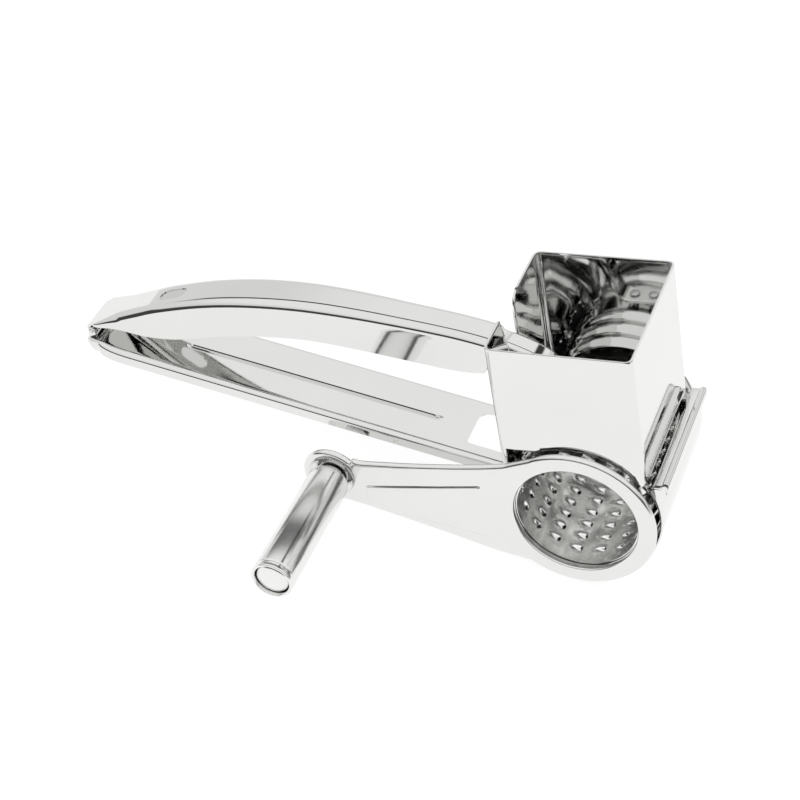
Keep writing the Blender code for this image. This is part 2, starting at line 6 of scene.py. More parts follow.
import bmesh
import bpy
import numpy as np
from mathutils import Matrix, Vector
from mathutils.geometry import delaunay_2d_cdt


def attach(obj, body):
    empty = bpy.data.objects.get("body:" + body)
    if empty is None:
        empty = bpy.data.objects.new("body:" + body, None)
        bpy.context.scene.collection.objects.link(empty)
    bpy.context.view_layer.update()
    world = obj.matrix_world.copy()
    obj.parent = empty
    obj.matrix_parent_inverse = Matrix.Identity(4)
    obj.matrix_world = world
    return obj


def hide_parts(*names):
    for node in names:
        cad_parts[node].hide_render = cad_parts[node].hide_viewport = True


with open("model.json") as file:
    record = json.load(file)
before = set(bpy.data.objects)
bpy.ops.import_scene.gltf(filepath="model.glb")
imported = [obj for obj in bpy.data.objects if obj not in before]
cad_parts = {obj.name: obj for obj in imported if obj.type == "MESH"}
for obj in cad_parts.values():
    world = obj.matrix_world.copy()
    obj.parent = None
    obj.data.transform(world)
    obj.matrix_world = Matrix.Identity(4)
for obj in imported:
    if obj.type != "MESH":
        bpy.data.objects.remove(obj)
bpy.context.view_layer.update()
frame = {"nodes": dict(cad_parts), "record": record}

# ---------------------------------------------------------------- the upright frame, in millimetres
MM = 0.001
SHEET = 0.8
CRANK_REACH, CRANK_ANGLE = 89.4, 4.5
CRADLE_RADIUS, ARM_END_RADIUS = 29.0, 11.0
TILT = math.radians(CRANK_ANGLE) + math.asin((CRADLE_RADIUS - ARM_END_RADIUS) / CRANK_REACH)
PIVOT_X = -CRANK_REACH * math.cos(math.radians(CRANK_ANGLE))
PIVOT_Z = CRANK_REACH * math.sin(math.radians(CRANK_ANGLE))
HANDLE_MIDDLE = 24.6
HINGE_X, HINGE_Z = -186.0, 46.4
HOPPER_WIDTH, HOPPER_DEPTH, HOPPER_TOP, HOPPER_FOOT = 50.0, 57.0, 68.0, -12.0
HOPPER_CORNER, FRONT_EDGE, FRONT_ARCH, SIDE_EDGE = 2.6, 26.5, 28.6, 16.8
DRUM_RADIUS, DRUM_WALL, DRUM_FRONT, DRUM_BACK = 22.6, 0.7, -0.7, 52.0
RING_RADIUS, ARM_FRONT = 28.3, -3.4
GRIP_RADIUS = 7.5
GRIP_START, GRIP_END = ARM_FRONT - 2.2, ARM_FRONT - 54.2
PIN_RADIUS = 2.4
PRESSER_RADIUS, PAD_TOP = 25.6, 30.0
CURL_RADIUS, HINGE_PIN_RADIUS, HINGE_BORE, EAR_RADIUS = 2.4, 0.75, 0.85, 1.3
EAR_FRONT, EAR_BACK = HANDLE_MIDDLE - 8.4, HANDLE_MIDDLE + 7.6
RIVET_HOLE = 1.9
LOWER_HALF, LOWER_DEPTH, LOWER_CORNER = 15.0, 4.6, 2.2

joint = {j["name"]: Vector(j["pos_m"]) for j in frame["record"]["behaviour"]["joints"]}
UPRIGHT = (Matrix.Translation(joint["crank_spin"]) @ Matrix.Rotation(-TILT, 4, "Y")
           @ Matrix.Scale(MM, 4))
TURN = Matrix.Rotation(-TILT, 3, "Y")


# ---------------------------------------------------------------- materials
def node(tree, kind, **values):
    made = tree.nodes.new(kind)
    for key, value in values.items():
        if key in made.inputs:
            made.inputs[key].default_value = value
        else:
            setattr(made, key, value)
    return made


def steel(name, colour=0.80, rough=(0.03, 0.10), grain=(1, 1, 1), scratch=0.02, wave=0.02):
    """Stainless steel: slight mottling, smudges in the roughness, fine grain and a soft waviness."""
    material = bpy.data.materials.new(name)
    material.use_nodes = True
    tree = material.node_tree
    shader = tree.nodes["Principled BSDF"]
    shader.inputs["Metallic"].default_value = 1.0
    link = tree.links.new
    place = node(tree, "ShaderNodeTexCoord")
    cloud = node(tree, "ShaderNodeTexNoise", Scale=38.0, Detail=4.0, Roughness=0.6)
    link(place.outputs["Object"], cloud.inputs["Vector"])
    tint = node(tree, "ShaderNodeMix", data_type="RGBA")
    tint.inputs["A"].default_value = (colour, colour, colour * 0.99, 1)
    tint.inputs["B"].default_value = (colour * 0.94, colour * 0.94, colour * 0.925, 1)
    link(cloud.outputs["Fac"], tint.inputs["Factor"])
    link(tint.outputs["Result"], shader.inputs["Base Color"])

    smudge = node(tree, "ShaderNodeTexNoise", Scale=95.0, Detail=6.0, Roughness=0.7)
    link(place.outputs["Object"], smudge.inputs["Vector"])
    spread = node(tree, "ShaderNodeMapRange")
    spread.inputs["From Min"].default_value = 0.3
    spread.inputs["From Max"].default_value = 0.75
    spread.inputs["To Min"].default_value = rough[0]
    spread.inputs["To Max"].default_value = rough[1]
    link(smudge.outputs["Fac"], spread.inputs["Value"])
    link(spread.outputs["Result"], shader.inputs["Roughness"])

    stretch = node(tree, "ShaderNodeMapping")
    stretch.inputs["Rotation"].default_value = (0, TILT, 0)
    stretch.inputs["Scale"].default_value = grain
    link(place.outputs["Object"], stretch.inputs["Vector"])
    hair = node(tree, "ShaderNodeTexNoise", Scale=900.0, Detail=3.0)
    link(stretch.outputs["Vector"], hair.inputs["Vector"])
    fine = node(tree, "ShaderNodeBump", Strength=scratch, Distance=0.0002)
    link(hair.outputs["Fac"], fine.inputs["Height"])
    swell = node(tree, "ShaderNodeTexNoise", Scale=30.0, Detail=1.0)
    link(place.outputs["Object"], swell.inputs["Vector"])
    broad = node(tree, "ShaderNodeBump", Strength=wave, Distance=0.004)
    link(swell.outputs["Fac"], broad.inputs["Height"])
    link(fine.outputs["Normal"], broad.inputs["Normal"])
    link(broad.outputs["Normal"], shader.inputs["Normal"])
    return material


def plain(name, colour, rough):
    """Moulded nylon or sintered bronze: speckled colour and a fine grainy bump."""
    material = bpy.data.materials.new(name)
    material.use_nodes = True
    tree = material.node_tree
    shader = tree.nodes["Principled BSDF"]
    shader.inputs["Roughness"].default_value = rough
    place = node(tree, "ShaderNodeTexCoord")
    speck = node(tree, "ShaderNodeTexNoise", Scale=700.0, Detail=4.0)
    tree.links.new(place.outputs["Object"], speck.inputs["Vector"])
    tint = node(tree, "ShaderNodeMix", data_type="RGBA")
    tint.inputs["A"].default_value = (*colour, 1)
    tint.inputs["B"].default_value = (*(0.8 * c for c in colour), 1)
    tree.links.new(speck.outputs["Fac"], tint.inputs["Factor"])
    tree.links.new(tint.outputs["Result"], shader.inputs["Base Color"])
    bump = node(tree, "ShaderNodeBump", Strength=0.2, Distance=0.0001)
    tree.links.new(speck.outputs["Fac"], bump.inputs["Height"])
    tree.links.new(bump.outputs["Normal"], shader.inputs["Normal"])
    return material


MIRROR = steel("mirror_steel", 0.79, (0.03, 0.08), (0.05, 1, 1), 0.02, 0.006)
HOPPER = steel("hopper_steel", 0.82, (0.03, 0.08), (1, 1, 0.05), 0.015, 0.004)
ARM = steel("crank_steel", 0.82, (0.14, 0.22), (0.05, 1, 1), 0.03, 0.004)
GRIP = steel("grip_steel", 0.86, (0.15, 0.22), (0.05, 1, 0.05), 0.02, 0.0)
# painted light: the drum's steel is lighter than the other steel and, below, given a diffuse share, so that
# its inside reads bright as if lit through its mouth
DRUM = steel("drum_steel", 0.96, (0.10, 0.18), (1, 0.06, 1), 0.04, 0.006)
SATIN = steel("satin_steel", 0.70, (0.20, 0.34), (1, 1, 1), 0.06, 0.0)
DRUM.node_tree.nodes["Principled BSDF"].inputs["Metallic"].default_value = 0.9
NYLON = plain("nylon", (0.80, 0.80, 0.77), 0.45)
BRONZE = plain("bronze", (0.45, 0.33, 0.18), 0.40)
BRONZE.node_tree.nodes["Principled BSDF"].inputs["Metallic"].default_value = 1.0


# ---------------------------------------------------------------- shape helpers
def arc(cx, cz, radius, start, end, count):
    """Points of an arc, angles in degrees from the first axis towards the second."""
    steps = (math.radians(start + (end - start) * i / count) for i in range(count + 1))
    return [(cx + radius * math.cos(a), cz + radius * math.sin(a)) for a in steps]


def resample(loop, spacing):
    """A closed loop with added points, so that no side is longer than spacing."""
    points = []
    for a, b in zip(loop, loop[1:] + loop[:1]):
        count = max(1, math.ceil(math.dist(a, b) / spacing))
        points += [(a[0] + (b[0] - a[0]) * i / count, a[1] + (b[1] - a[1]) * i / count)
                   for i in range(count)]
    return points


def inside(points, loop):
    """Which points lie inside a closed loop."""
    x, y = points[:, 0], points[:, 1]
    result = np.zeros(len(points), bool)
    for (ax, ay), (bx, by) in zip(loop, np.roll(loop, -1, axis=0)):
        if ay != by:
            result ^= ((ay > y) != (by > y)) & (x < (bx - ax) * (y - ay) / (by - ay) + ax)
    return result


def distance(points, loop):
    """How far each point is from a closed loop."""
    best = np.full(len(points), 1e9)
    for a, b in zip(loop, np.roll(loop, -1, axis=0)):
        side = b - a
        t = np.clip((points - a) @ side / max(side @ side, 1e-12), 0, 1)
        best = np.minimum(best, np.linalg.norm(points - a - t[:, None] * side, axis=1))
    return best


def offset(loop, d):
    """A closed loop moved sideways by d to its left, point by point."""
    points = np.array(loop, float)
    along = np.roll(points, -1, axis=0) - np.roll(points, 1, axis=0)
    along /= np.linalg.norm(along, axis=1)[:, None]
    return points + d * np.stack([-along[:, 1], along[:, 0]], axis=1)


def grid(us, vs):
    u, v = np.meshgrid(us, vs)
    return np.stack([u.ravel(), v.ravel()], axis=1)


def cut_flat(outline, holes, points, clearance=0.15):
    """Triangles of a flat outline with holes, passing through the given inner points."""
    loops = [np.array(outline, float)] + [np.array(h, float) for h in holes]
    keep = inside(points, loops[0]) & (distance(points, loops[0]) > clearance)
    for hole in loops[1:]:
        keep &= ~inside(points, hole) & (distance(points, hole) > clearance)
    corners = [Vector(p) for loop in loops for p in loop] + [Vector(p) for p in points[keep]]
    sides, start = [], 0
    for loop in loops:
        sides += [(start + i, start + (i + 1) % len(loop)) for i in range(len(loop))]
        start += len(loop)
    made = delaunay_2d_cdt(corners, sides, [], 0, 1e-6)
    flat = np.array([tuple(v) for v in made[0]])
    faces = np.array([f for f in made[2] if len(f) == 3])
    middle = flat[faces].mean(axis=1)
    keep = inside(middle, loops[0])
    for hole in loops[1:]:
        keep &= ~inside(middle, hole)
    faces = faces[keep]
    a, b, c = flat[faces[:, 0]], flat[faces[:, 1]], flat[faces[:, 2]]
    turn = (b[:, 0] - a[:, 0]) * (c[:, 1] - a[:, 1]) - (b[:, 1] - a[:, 1]) * (c[:, 0] - a[:, 0])
    faces[turn < 0] = faces[turn < 0][:, ::-1]
    faces = faces[np.abs(turn) > 1e-9]
    used = np.unique(faces)
    number = np.full(len(flat), -1)
    number[used] = np.arange(len(used))
    return flat[used], number[faces]


def finish_mesh(piece, angle):
    """Applies the piece's modifiers, moves it to the row frame and marks its sharp edges."""
    graph = bpy.context.evaluated_depsgraph_get()
    mesh = bpy.data.meshes.new_from_object(piece.evaluated_get(graph))
    piece.modifiers.clear()
    old, piece.data = piece.data, mesh
    bpy.data.meshes.remove(old)
    mesh.name = piece.name
    mesh.transform(UPRIGHT)
    mesh.shade_smooth()
    mesh.set_sharp_from_angle(angle=math.radians(angle))


def dress(piece, body, material, stands_for):
    piece.data.materials.clear()
    piece.data.materials.append(material)
    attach(piece, body)
    if stands_for:
        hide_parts(*stands_for)
    return piece


def new_piece(name, points, faces):
    mesh = bpy.data.meshes.new(name)
    mesh.from_pydata([tuple(p) for p in points], [], [tuple(int(i) for i in f) for f in faces])
    mesh.update()
    piece = bpy.data.objects.new(name, mesh)
    bpy.context.scene.collection.objects.link(piece)
    return piece


def bent_sheet(name, flat, place, thickness=SHEET, edge=0.1, angle=40, weld=None, even=True):
    """A sheet cut flat, bent into shape by place(u, v) and thickened behind its outer face."""
    points, faces = flat
    piece = new_piece(name, place(points[:, 0], points[:, 1]), faces)
    if weld:
        step = piece.modifiers.new("weld", "WELD")
        step.merge_threshold = weld
    step = piece.modifiers.new("sheet", "SOLIDIFY")
    step.thickness, step.offset, step.use_even_offset = thickness, -1.0, even
    if edge:
        step = piece.modifiers.new("edge", "BEVEL")
        step.width, step.segments, step.limit_method = edge, 2, "ANGLE"
        step.angle_limit, step.use_clamp_overlap = math.radians(60), False
    finish_mesh(piece, angle)
    return piece


def sheet_piece(name, body, flat, place, material, slot="polished_steel", stands_for=(), **shape):
    return dress(bent_sheet(name, flat, place, **shape), body, material, stands_for)


def add_to(piece, other):
    """Moves the other piece's mesh into the first one."""
    both = bmesh.new()
    both.from_mesh(piece.data)
    both.from_mesh(other.data)
    both.to_mesh(piece.data)
    both.free()
    bpy.data.objects.remove(other, do_unlink=True)


def turned_piece(name, body, profile, material, segments=96, centre=(0, 0),
                 angle=40, stands_for=(), edge=0.08):
    """A solid of revolution about an axis along Y: profile points are (radius, y), a closed loop."""
    points, faces, rings = [], [], []
    poles = {}
    for j, (r, y) in enumerate(profile):
        if r == 0:
            poles[j] = len(points)
            points.append((centre[0], y, centre[1]))
    for i in range(segments):
        a = 2 * math.pi * i / segments
        ring = []
        for j, (r, y) in enumerate(profile):
            if j in poles:
                ring.append(poles[j])
            else:
                ring.append(len(points))
                points.append((centre[0] + r * math.cos(a), y, centre[1] + r * math.sin(a)))
        rings.append(ring)
    for i in range(segments):
        here, there = rings[i], rings[(i + 1) % segments]
        for j in range(len(profile)):
            k = (j + 1) % len(profile)
            corners = list(dict.fromkeys([here[j], here[k], there[k], there[j]]))
            if len(corners) > 2:
                faces.append(corners)
    area = sum(a[0] * b[1] - b[0] * a[1] for a, b in zip(profile, profile[1:] + profile[:1]))
    if area < 0:
        faces = [f[::-1] for f in faces]
    piece = new_piece(name, points, faces)
    if edge:
        step = piece.modifiers.new("edge", "BEVEL")
        step.width, step.segments, step.limit_method = edge, 2, "ANGLE"
        step.angle_limit = math.radians(40)
    finish_mesh(piece, angle)
    return dress(piece, body, material, stands_for)


def smooth_path(points, per_span):
    """Catmull-Rom points through a list of tuples of any length."""
    path = []
    last = len(points) - 1
    for i in range(last):
        p0, p1, p2, p3 = (points[max(0, min(last, i + k))] for k in (-1, 0, 1, 2))
        for step in range(per_span):
            t = step / per_span
            path.append(tuple(
                0.5 * (2 * b + (c - a) * t + (2 * a - 5 * b + 4 * c - d) * t ** 2
                       + (3 * b - a - 3 * c + d) * t ** 3)
                for a, b, c, d in zip(p0, p1, p2, p3)))
    path.append(points[last])
    return path


def smoothstep(t):
    t = np.clip(t, 0, 1)
    return t * t * (3 - 2 * t)


# ---------------------------------------------------------------- channel handles
FLANGE_V, CORNER_V, TOP_V = 10.0, 4.0, 11.0


def channel(path, radius):
    """Length along the path, and the function that bends a flat sheet (u, v) into the channel.

    path points are (x, z, half width, depth).  v runs from the front flange's edge over the top to the
    rear flange's edge, and its lengths are nominal, so that one grid suits every section.
    """
    path = np.array(path, float)
    step = np.hypot(np.diff(path[:, 0]), np.diff(path[:, 1]))
    length = np.concatenate([[0], np.cumsum(step)])

    def section(u):
        return [np.interp(u, length, path[:, k]) for k in range(4)]

    along_x, along_z = np.gradient(path[:, 0], length), np.gradient(path[:, 1], length)
    first = int(np.argmin(path[:, 0]))

    def place(u, v, lift=None):
        x, z, half, depth = section(u)
        dx, dz = np.interp(u, length, along_x), np.interp(u, length, along_z)
        scale = np.hypot(dx, dz)
        up_x, up_z = -dz / scale, dx / scale
        r = np.minimum(np.minimum(radius, 0.6 * depth), 0.45 * half)
        side, w = np.sign(v), np.abs(v)
        turn = np.clip((w - TOP_V) / CORNER_V, 0, 1) * math.pi / 2
        fall = np.clip((w - TOP_V - CORNER_V) / FLANGE_V, 0, 1)
        y = np.where(w < TOP_V, (half - r) * w / TOP_V, half - r + r * np.sin(turn))
        n = np.where(w < TOP_V, 0, -r + r * np.cos(turn)) - fall * (depth - r)
        if lift is not None:
            n = n + lift(x, side * y)
        return np.stack([x + up_x * n, HANDLE_MIDDLE + side * y, z + up_z * n], axis=1)

    def flat_of(x, y):
        """(u, v) of a point of the top face."""
        u = np.interp(x, path[first:, 0], length[first:])
        half, depth = np.interp(u, length, path[:, 2]), np.interp(u, length, path[:, 3])
        r = np.minimum(np.minimum(radius, 0.6 * depth), 0.45 * half)
        return float(u), float(y / (half - r) * TOP_V)

    return length, place, flat_of


def channel_rows():
    top = np.linspace(-TOP_V, TOP_V, 23)
    corner = TOP_V + np.linspace(0, CORNER_V, 9)[1:]
    flange = TOP_V + CORNER_V + np.linspace(0, FLANGE_V, 9)[1:]
    return np.concatenate([-flange[::-1], -corner[::-1], top, corner, flange])


def channel_flat(length, holes, spacing, extra=None):
    edge = TOP_V + CORNER_V + FLANGE_V
    rows = channel_rows()
    columns = np.linspace(0, length[-1], int(length[-1] / spacing) + 1)
    outline = ([(u, -edge) for u in columns[:-1]] + [(length[-1], v) for v in rows[:-1]]
               + [(u, edge) for u in columns[:0:-1]] + [(0, v) for v in rows[:0:-1]])
    points = grid(columns[1:-1], rows[1:-1])
    if extra is not None:
        far = [np.min(np.hypot(*(extra - p).T)) > 0.4 for p in points]
        points = np.concatenate([points[far], extra])
    return cut_flat(outline, holes, points, 0.12)


def upper_handle():
    """Arched channel curled round the pin at its tip, which narrows to the strip that holds the presser."""
    depth, corner = 14.6, 3.6
    hang_start, hang_end, hang_half = -158, -147, 3
    curl = [(x, z, 7.3, 0.7) for x, z in arc(HINGE_X, HINGE_Z, CURL_RADIUS, 235, 115, 16)]
    arch = [(-185.9, 49.1, 7.5, 0.8), (-184.6, 49.55, 8.7, 1.0), (-183.0, 50.15, 8.8, 1.8),
            (-176, 52.8, 8.5, 5.0), (-166, 56.2, 8.5, 10.6), (-154.5, 59.8, 8.5, 14.0),
            (-136, 63.8, 8.5, depth), (-117, 65.9, 8.5, depth), (-98, 66.1, 8.2, depth),
            (-80, 64.6, 7.7, depth + 0.6), (-62, 62.1, 7.1, depth + 1.2), (-45, 59.5, 6.8, depth + 1.4),
            (-36, 57.7, 6.7, depth + 0.4), (-31, 56.5, 6.7, depth - 1.0), (-29.2, 56.0, 6.6, depth - 1.4)]
    strip = [(-28.2, 55.75, 5.0, 6.0), (-27.4, 55.5, 4.4, 4.2), (-22, 53.6, 4.4, 4.0),
             (-15, 50.4, 4.4, 3.8), (-10, 46.6, 4.4, 3.2), (-7.8, 41, 4.4, 2.4), (-6.6, 35.0, 4.4, 1.8),
             (-5.2, 31.4, 4.4, 1.2),
             (-3.0, PAD_TOP, 4.4, 0.9), (3.0, PAD_TOP, 4.4, 0.9), (9.0, PAD_TOP, 4.4, 0.9)]
    path = curl + smooth_path(arch, 8) + smooth_path(strip, 6)
    length, place, flat_of = channel(path, corner)
    hole = arc(hang_start + hang_half, 0, hang_half, 90, 270, 16)
    hole += arc(hang_end - hang_half, 0, hang_half, -90, 90, 16)
    hole = [flat_of(x, y) for x, y in resample(hole, 0.6)]
    flat = channel_flat(length, [hole], 1.0)
    return sheet_piece("upper_handle_sheet", "pusher", flat, place, MIRROR, thickness=0.6, edge=0,
                       even=False, stands_for=["upper_handle"])


def plate_height(x):
    """Height of the lower handle's flat top, which slopes down towards the hopper."""
    return 3.0 - 0.23 * x


def lower_handle():
    """Wide channel with a pressed crease, a window beside the hopper, and two ears for the hinge pin."""
    root = -HOPPER_WIDTH / 2 - 0.3 - 1.4
    tip = [(-188.9, 41.0, 8.0, 0.9), (-189.2, 42.1, 8.5, 1.6), (-188.6, 43.1, 9.4, 2.4),
           (-187.0, 43.6, 10.6, 3.2), (-184.0, 44.0, 12.0, 3.8),
           (-181.0, plate_height(-181) - 0.15, 13.4, 4.2), (-176.0, plate_height(-176), 14.6, LOWER_DEPTH),
           (-171.0, plate_height(-171), LOWER_HALF, LOWER_DEPTH)]
    straight = [(x, plate_height(x), LOWER_HALF, LOWER_DEPTH) for x in np.linspace(-169, root, 60)]
    length, place, flat_of = channel(smooth_path(tip, 8) + straight, LOWER_CORNER)
    crease_start, crease_end, crease_depth = -152.5, -55.0, 0.8
    gentle, steep = 1.9, 0.42

    def crease(x, y):
        """A groove along the middle, steep behind and gentle in front, which fades out at both ends."""
        ends = smoothstep((x - crease_start) / 3.0) * smoothstep((crease_end - x) / 4.0)
        width = np.where(y > 0, steep, gentle)
        return -crease_depth * ends * np.clip(1 - np.abs(y) / width, 0, 1)

    window = arc(-39.4, 4.6, 4.6, 180, 90, 8) + arc(-31.6, 6.2, 3.0, 90, 0, 6)
    window += arc(-31.6, -5.6, 3.0, 0, -90, 6) + arc(-42.4, -7.0, 1.6, 270, 180, 4)
    window = [flat_of(x, y) for x, y in resample(window[::-1], 0.8)]
    # rows of points follow the crease, and two of them lie on its outer edges
    flat_half = LOWER_HALF - LOWER_CORNER
    rows = [-gentle, -gentle * TOP_V / flat_half, -1.2, -0.8, -0.4, 0, 0.18, steep * TOP_V / flat_half, 0.6]
    flat = channel_flat(length, [window], 1.2, grid(np.linspace(30, length[-1] - 24, 160), rows))
    handle = bent_sheet("lower_handle_sheet", flat, lambda u, v: place(u, v, crease), edge=0, even=False)
    for y in (EAR_FRONT, EAR_BACK):
        tab = [(-187.5, 43.2)] + arc(HINGE_X, HINGE_Z, EAR_RADIUS, 190, -10, 16) + [(-184.4, 43.4)]
        bore = arc(HINGE_X, HINGE_Z, HINGE_BORE, 0, 345, 23)
        inner = grid(np.arange(-188, -184, 0.6), np.arange(43, 48, 0.6))
        ear = cut_flat(resample(tab[::-1], 0.5), [bore], inner)
        add_to(handle, bent_sheet("ear", ear, lambda x, z, y=y: np.stack([x, 0 * x + y, z], axis=1)))
    return dress(handle, "frame", MIRROR, ["lower_handle"])


def hinge():
    """Pin through the ears and the curl, its two ends rounded."""
    low, high, r = HANDLE_MIDDLE - 8.6, HANDLE_MIDDLE + 8.6, HINGE_PIN_RADIUS
    rod = [(0, low), (0.5, low), (0.7, low + 0.15), (r, low + 0.3), (r, high - 0.3), (0.7, high - 0.15),
           (0.5, high), (0, high)]
    turned_piece("hinge_rod", "frame", rod, SATIN, 32, (HINGE_X, HINGE_Z),
                 stands_for=["hinge_pin"], edge=0)


upper_handle()
lower_handle()
hinge()


# ---------------------------------------------------------------- hopper, cradle and rear cover
def hopper():
    """Four walls cut flat as one strip and folded; u runs round the box from the middle of the slot."""
    half, r = HOPPER_WIDTH / 2, HOPPER_CORNER
    depth = HOPPER_DEPTH
    quarter = math.pi * r / 2
    runs = [HANDLE_MIDDLE - r, quarter, 2 * half - 2 * r, quarter, depth - 2 * r, quarter, 2 * half - 2 * r,
            quarter, depth - r - HANDLE_MIDDLE]
    stops = np.concatenate([[0], np.cumsum(runs)])
    total = stops[-1]
    slot_low, slot_high = HANDLE_MIDDLE - 5.3, HANDLE_MIDDLE + 5.1
    slot_foot = 45.8

    def place(u, v):
        u = np.clip(u, 0, total)
        x, y = np.zeros_like(u), np.zeros_like(u)
        for i in range(9):
            here = (u >= stops[i]) & (u <= stops[i + 1])
            t = u[here] - stops[i]
            if i == 0:
                x[here], y[here] = -half, HANDLE_MIDDLE - t
            elif i == 2:
                x[here], y[here] = -half + r + t, 0
            elif i == 4:
                x[here], y[here] = half, r + t
            elif i == 6:
                x[here], y[here] = half - r - t, depth
            elif i == 8:
                x[here], y[here] = -half, depth - r - t
            else:
                cx, cy, start = {1: (-half + r, r, 180), 3: (half - r, r, 270), 5: (half - r, depth - r, 0),
                                 7: (-half + r, depth - r, 90)}[i]
                a = np.radians(start) + t / r
                x[here], y[here] = cx + r * np.cos(a), cy + r * np.sin(a)
        # the right wall's lower edge is turned out a little
        wall = smoothstep((u - stops[4]) / 1.5) * smoothstep((stops[5] - u) / 1.5)
        return np.stack([x + 0.6 * wall * smoothstep((SIDE_EDGE + 1.9 - v) / 1.3), y, v], axis=1)

    def front(x):
        return stops[2] + x + half - r

    a0 = HANDLE_MIDDLE - slot_low
    b0 = total - (slot_high - HANDLE_MIDDLE)
    start = 180 - math.degrees(math.asin(FRONT_EDGE / FRONT_ARCH))
    arch = [(front(x), z) for x, z in arc(0, 0, FRONT_ARCH, start, 26, 40)]
    right = stops[4]
    outline = [(0.0, HOPPER_FOOT), (stops[2] - 0.6, HOPPER_FOOT), (stops[2], FRONT_EDGE)]
    outline += arch
    outline += [(stops[3] - 0.3, 12.6), (stops[3] + 0.2, 14.0), (stops[3] + 0.8, SIDE_EDGE - 1.2),
                (right - 0.3, SIDE_EDGE), (right + 37.4, SIDE_EDGE)]
    outline += [(right - r + y, z) for y, z in arc(44, SIDE_EDGE - 8, 8, 78, 0, 10)]
    outline += [(stops[5], HOPPER_FOOT), (total, HOPPER_FOOT), (total, slot_foot)]
    outline += [(b0 + 1.2, slot_foot)] + [(b0 + 1.2 - 1.2 * math.sin(a), 47.0 - 1.2 * math.cos(a))
                                          for a in np.radians([30, 60, 90])]
    outline += [(b0, 60.5), (b0 - 0.25, 62.5), (b0 - 0.9, 64.6), (b0 - 2.0, 66.4), (b0 - 3.6, 67.6),
                (b0 - 5.6, HOPPER_TOP)]
    outline += [(a0 + 3.3, HOPPER_TOP), (a0 + 2.9, 66.8), (a0 + 2.0, 64.0), (a0 + 0.9, 60.3), (a0, 56.5),
                (a0, 47.0)]
    outline += [(a0 - 1.2 + 1.2 * math.cos(a), 47.0 - 1.2 * math.sin(a)) for a in np.radians([30, 60, 90])]
    outline += [(0.0, slot_foot)]
    outline = resample(outline, 1.4)
    columns = []
    for i in range(9):
        count = 12 if i % 2 else max(2, int(runs[i] / 2.0))
        columns += list(np.linspace(stops[i], stops[i + 1], count, endpoint=False))
    columns = np.array(columns[1:])
    turned_edge = grid(np.linspace(right + 0.7, right + 40, 24), SIDE_EDGE + np.linspace(0.35, 2.3, 7))
    points = np.concatenate([grid(columns, np.arange(HOPPER_FOOT + 1.0, HOPPER_TOP, 2.0)), turned_edge])
    holes = []
    for x, z in ((-14.0, 19.0), (14.0, 19.0), (-14.0, -8.0), (14.0, -8.0)):
        holes.append(arc(stops[6] + half - r - x, z, RIVET_HOLE, 0, 345, 23))
    for y, z in ((9.0, -7.5), (HANDLE_MIDDLE - 11, 16.0)):
        holes.append(arc(HANDLE_MIDDLE - y, z, RIVET_HOLE, 0, 345, 23))
    for y, z in ((48.0, -7.5), (HANDLE_MIDDLE + 11, 16.0)):
        holes.append(arc(stops[8] + depth - r - y, z, RIVET_HOLE, 0, 345, 23))
    bearing_hole = 6.4
    holes.append(arc(stops[6] + half - r, 0, bearing_hole, 0, 352, 44))
    flat = cut_flat(outline, holes, points, 0.2)
    return sheet_piece("hopper_walls", "frame", flat, place, HOPPER, stands_for=["hopper_shell"], weld=0.01)


def cradle():
    """Half round sheet under the drum, its right edge a flat strip with a bead."""
    radius, rear = CRADLE_RADIUS - 0.01, HOPPER_DEPTH + 2.4
    wall = -HOPPER_WIDTH / 2 - 0.3 - SHEET
    start = 180 + math.degrees(math.acos(-wall / radius))
    profile = [(wall, -3.5), (wall, -5.0), (wall, -7.0)] + arc(0, 0, radius, start, 386, 90)
    profile += [(26.6, 13.0), (27.2, 13.4), (28.0, 13.5), (29.0, 13.5), (29.8, 13.5), (30.1, 13.7),
                (30.3, 14.05), (30.55, 14.35), (30.85, 14.4), (31.15, 14.2), (31.3, 13.8), (31.32, 13.0),
                (31.2, 11.8)]
    profile = np.array(profile)
    length = np.concatenate([[0], np.cumsum(np.hypot(*np.diff(profile, axis=0).T))])

    def place(u, v):
        x, z = (np.interp(u, length, profile[:, k]) for k in (0, 1))
        return np.stack([x, rear - v, z], axis=1)

    low, high = rear - (HOPPER_DEPTH - 0.2), rear - 2.6
    columns = np.unique(np.concatenate([length[1:-1], [0.7]]))
    holes = [arc(4.0, rear - y, RIVET_HOLE, 0, 345, 23) for y in (9.0, 48.0)]
    outline = resample([(u, low) for u in length] + [(u, high) for u in length[::-1]], 2.0)
    flat = cut_flat(outline, holes, grid(columns, np.arange(low + 2, high, 2.5)), 0.2)
    return sheet_piece("cradle_sheet", "frame", flat, place, HOPPER, stands_for=["drum_cradle"])


def rear_cover():
    """Dished disc behind the hopper, with a rolled rim, a pressed ring and a raised boss."""
    r, y, bend = 28.4, HOPPER_DEPTH + 0.3, 1.2
    profile = [(6.4, y), (r - bend, y)]
    profile += [(r - bend + bend * math.sin(a), y + bend - bend * math.cos(a))
                for a in np.radians([20, 40, 60, 80, 90])]
    profile += [(r, y + 3.1), (r - 0.1, y + 3.35), (r - 0.4, y + 3.4), (r - 0.7, y + 3.3),
                (r - SHEET, y + 3.1), (r - SHEET, y + 1.3), (r - 1.0, y + 0.95), (r - 1.3, y + SHEET),
                (22.6, y + SHEET), (21.8, y + 1.0), (21.0, y + 1.35), (20.2, y + 1.0), (19.4, y + SHEET),
                (10.2, y + SHEET), (9.4, y + 1.3), (8.6, y + 1.8), (6.4, y + 1.8)]
    return turned_piece("rear_cover_disc", "frame", profile, HOPPER, segments=128,
                        stands_for=["rear_cover"])


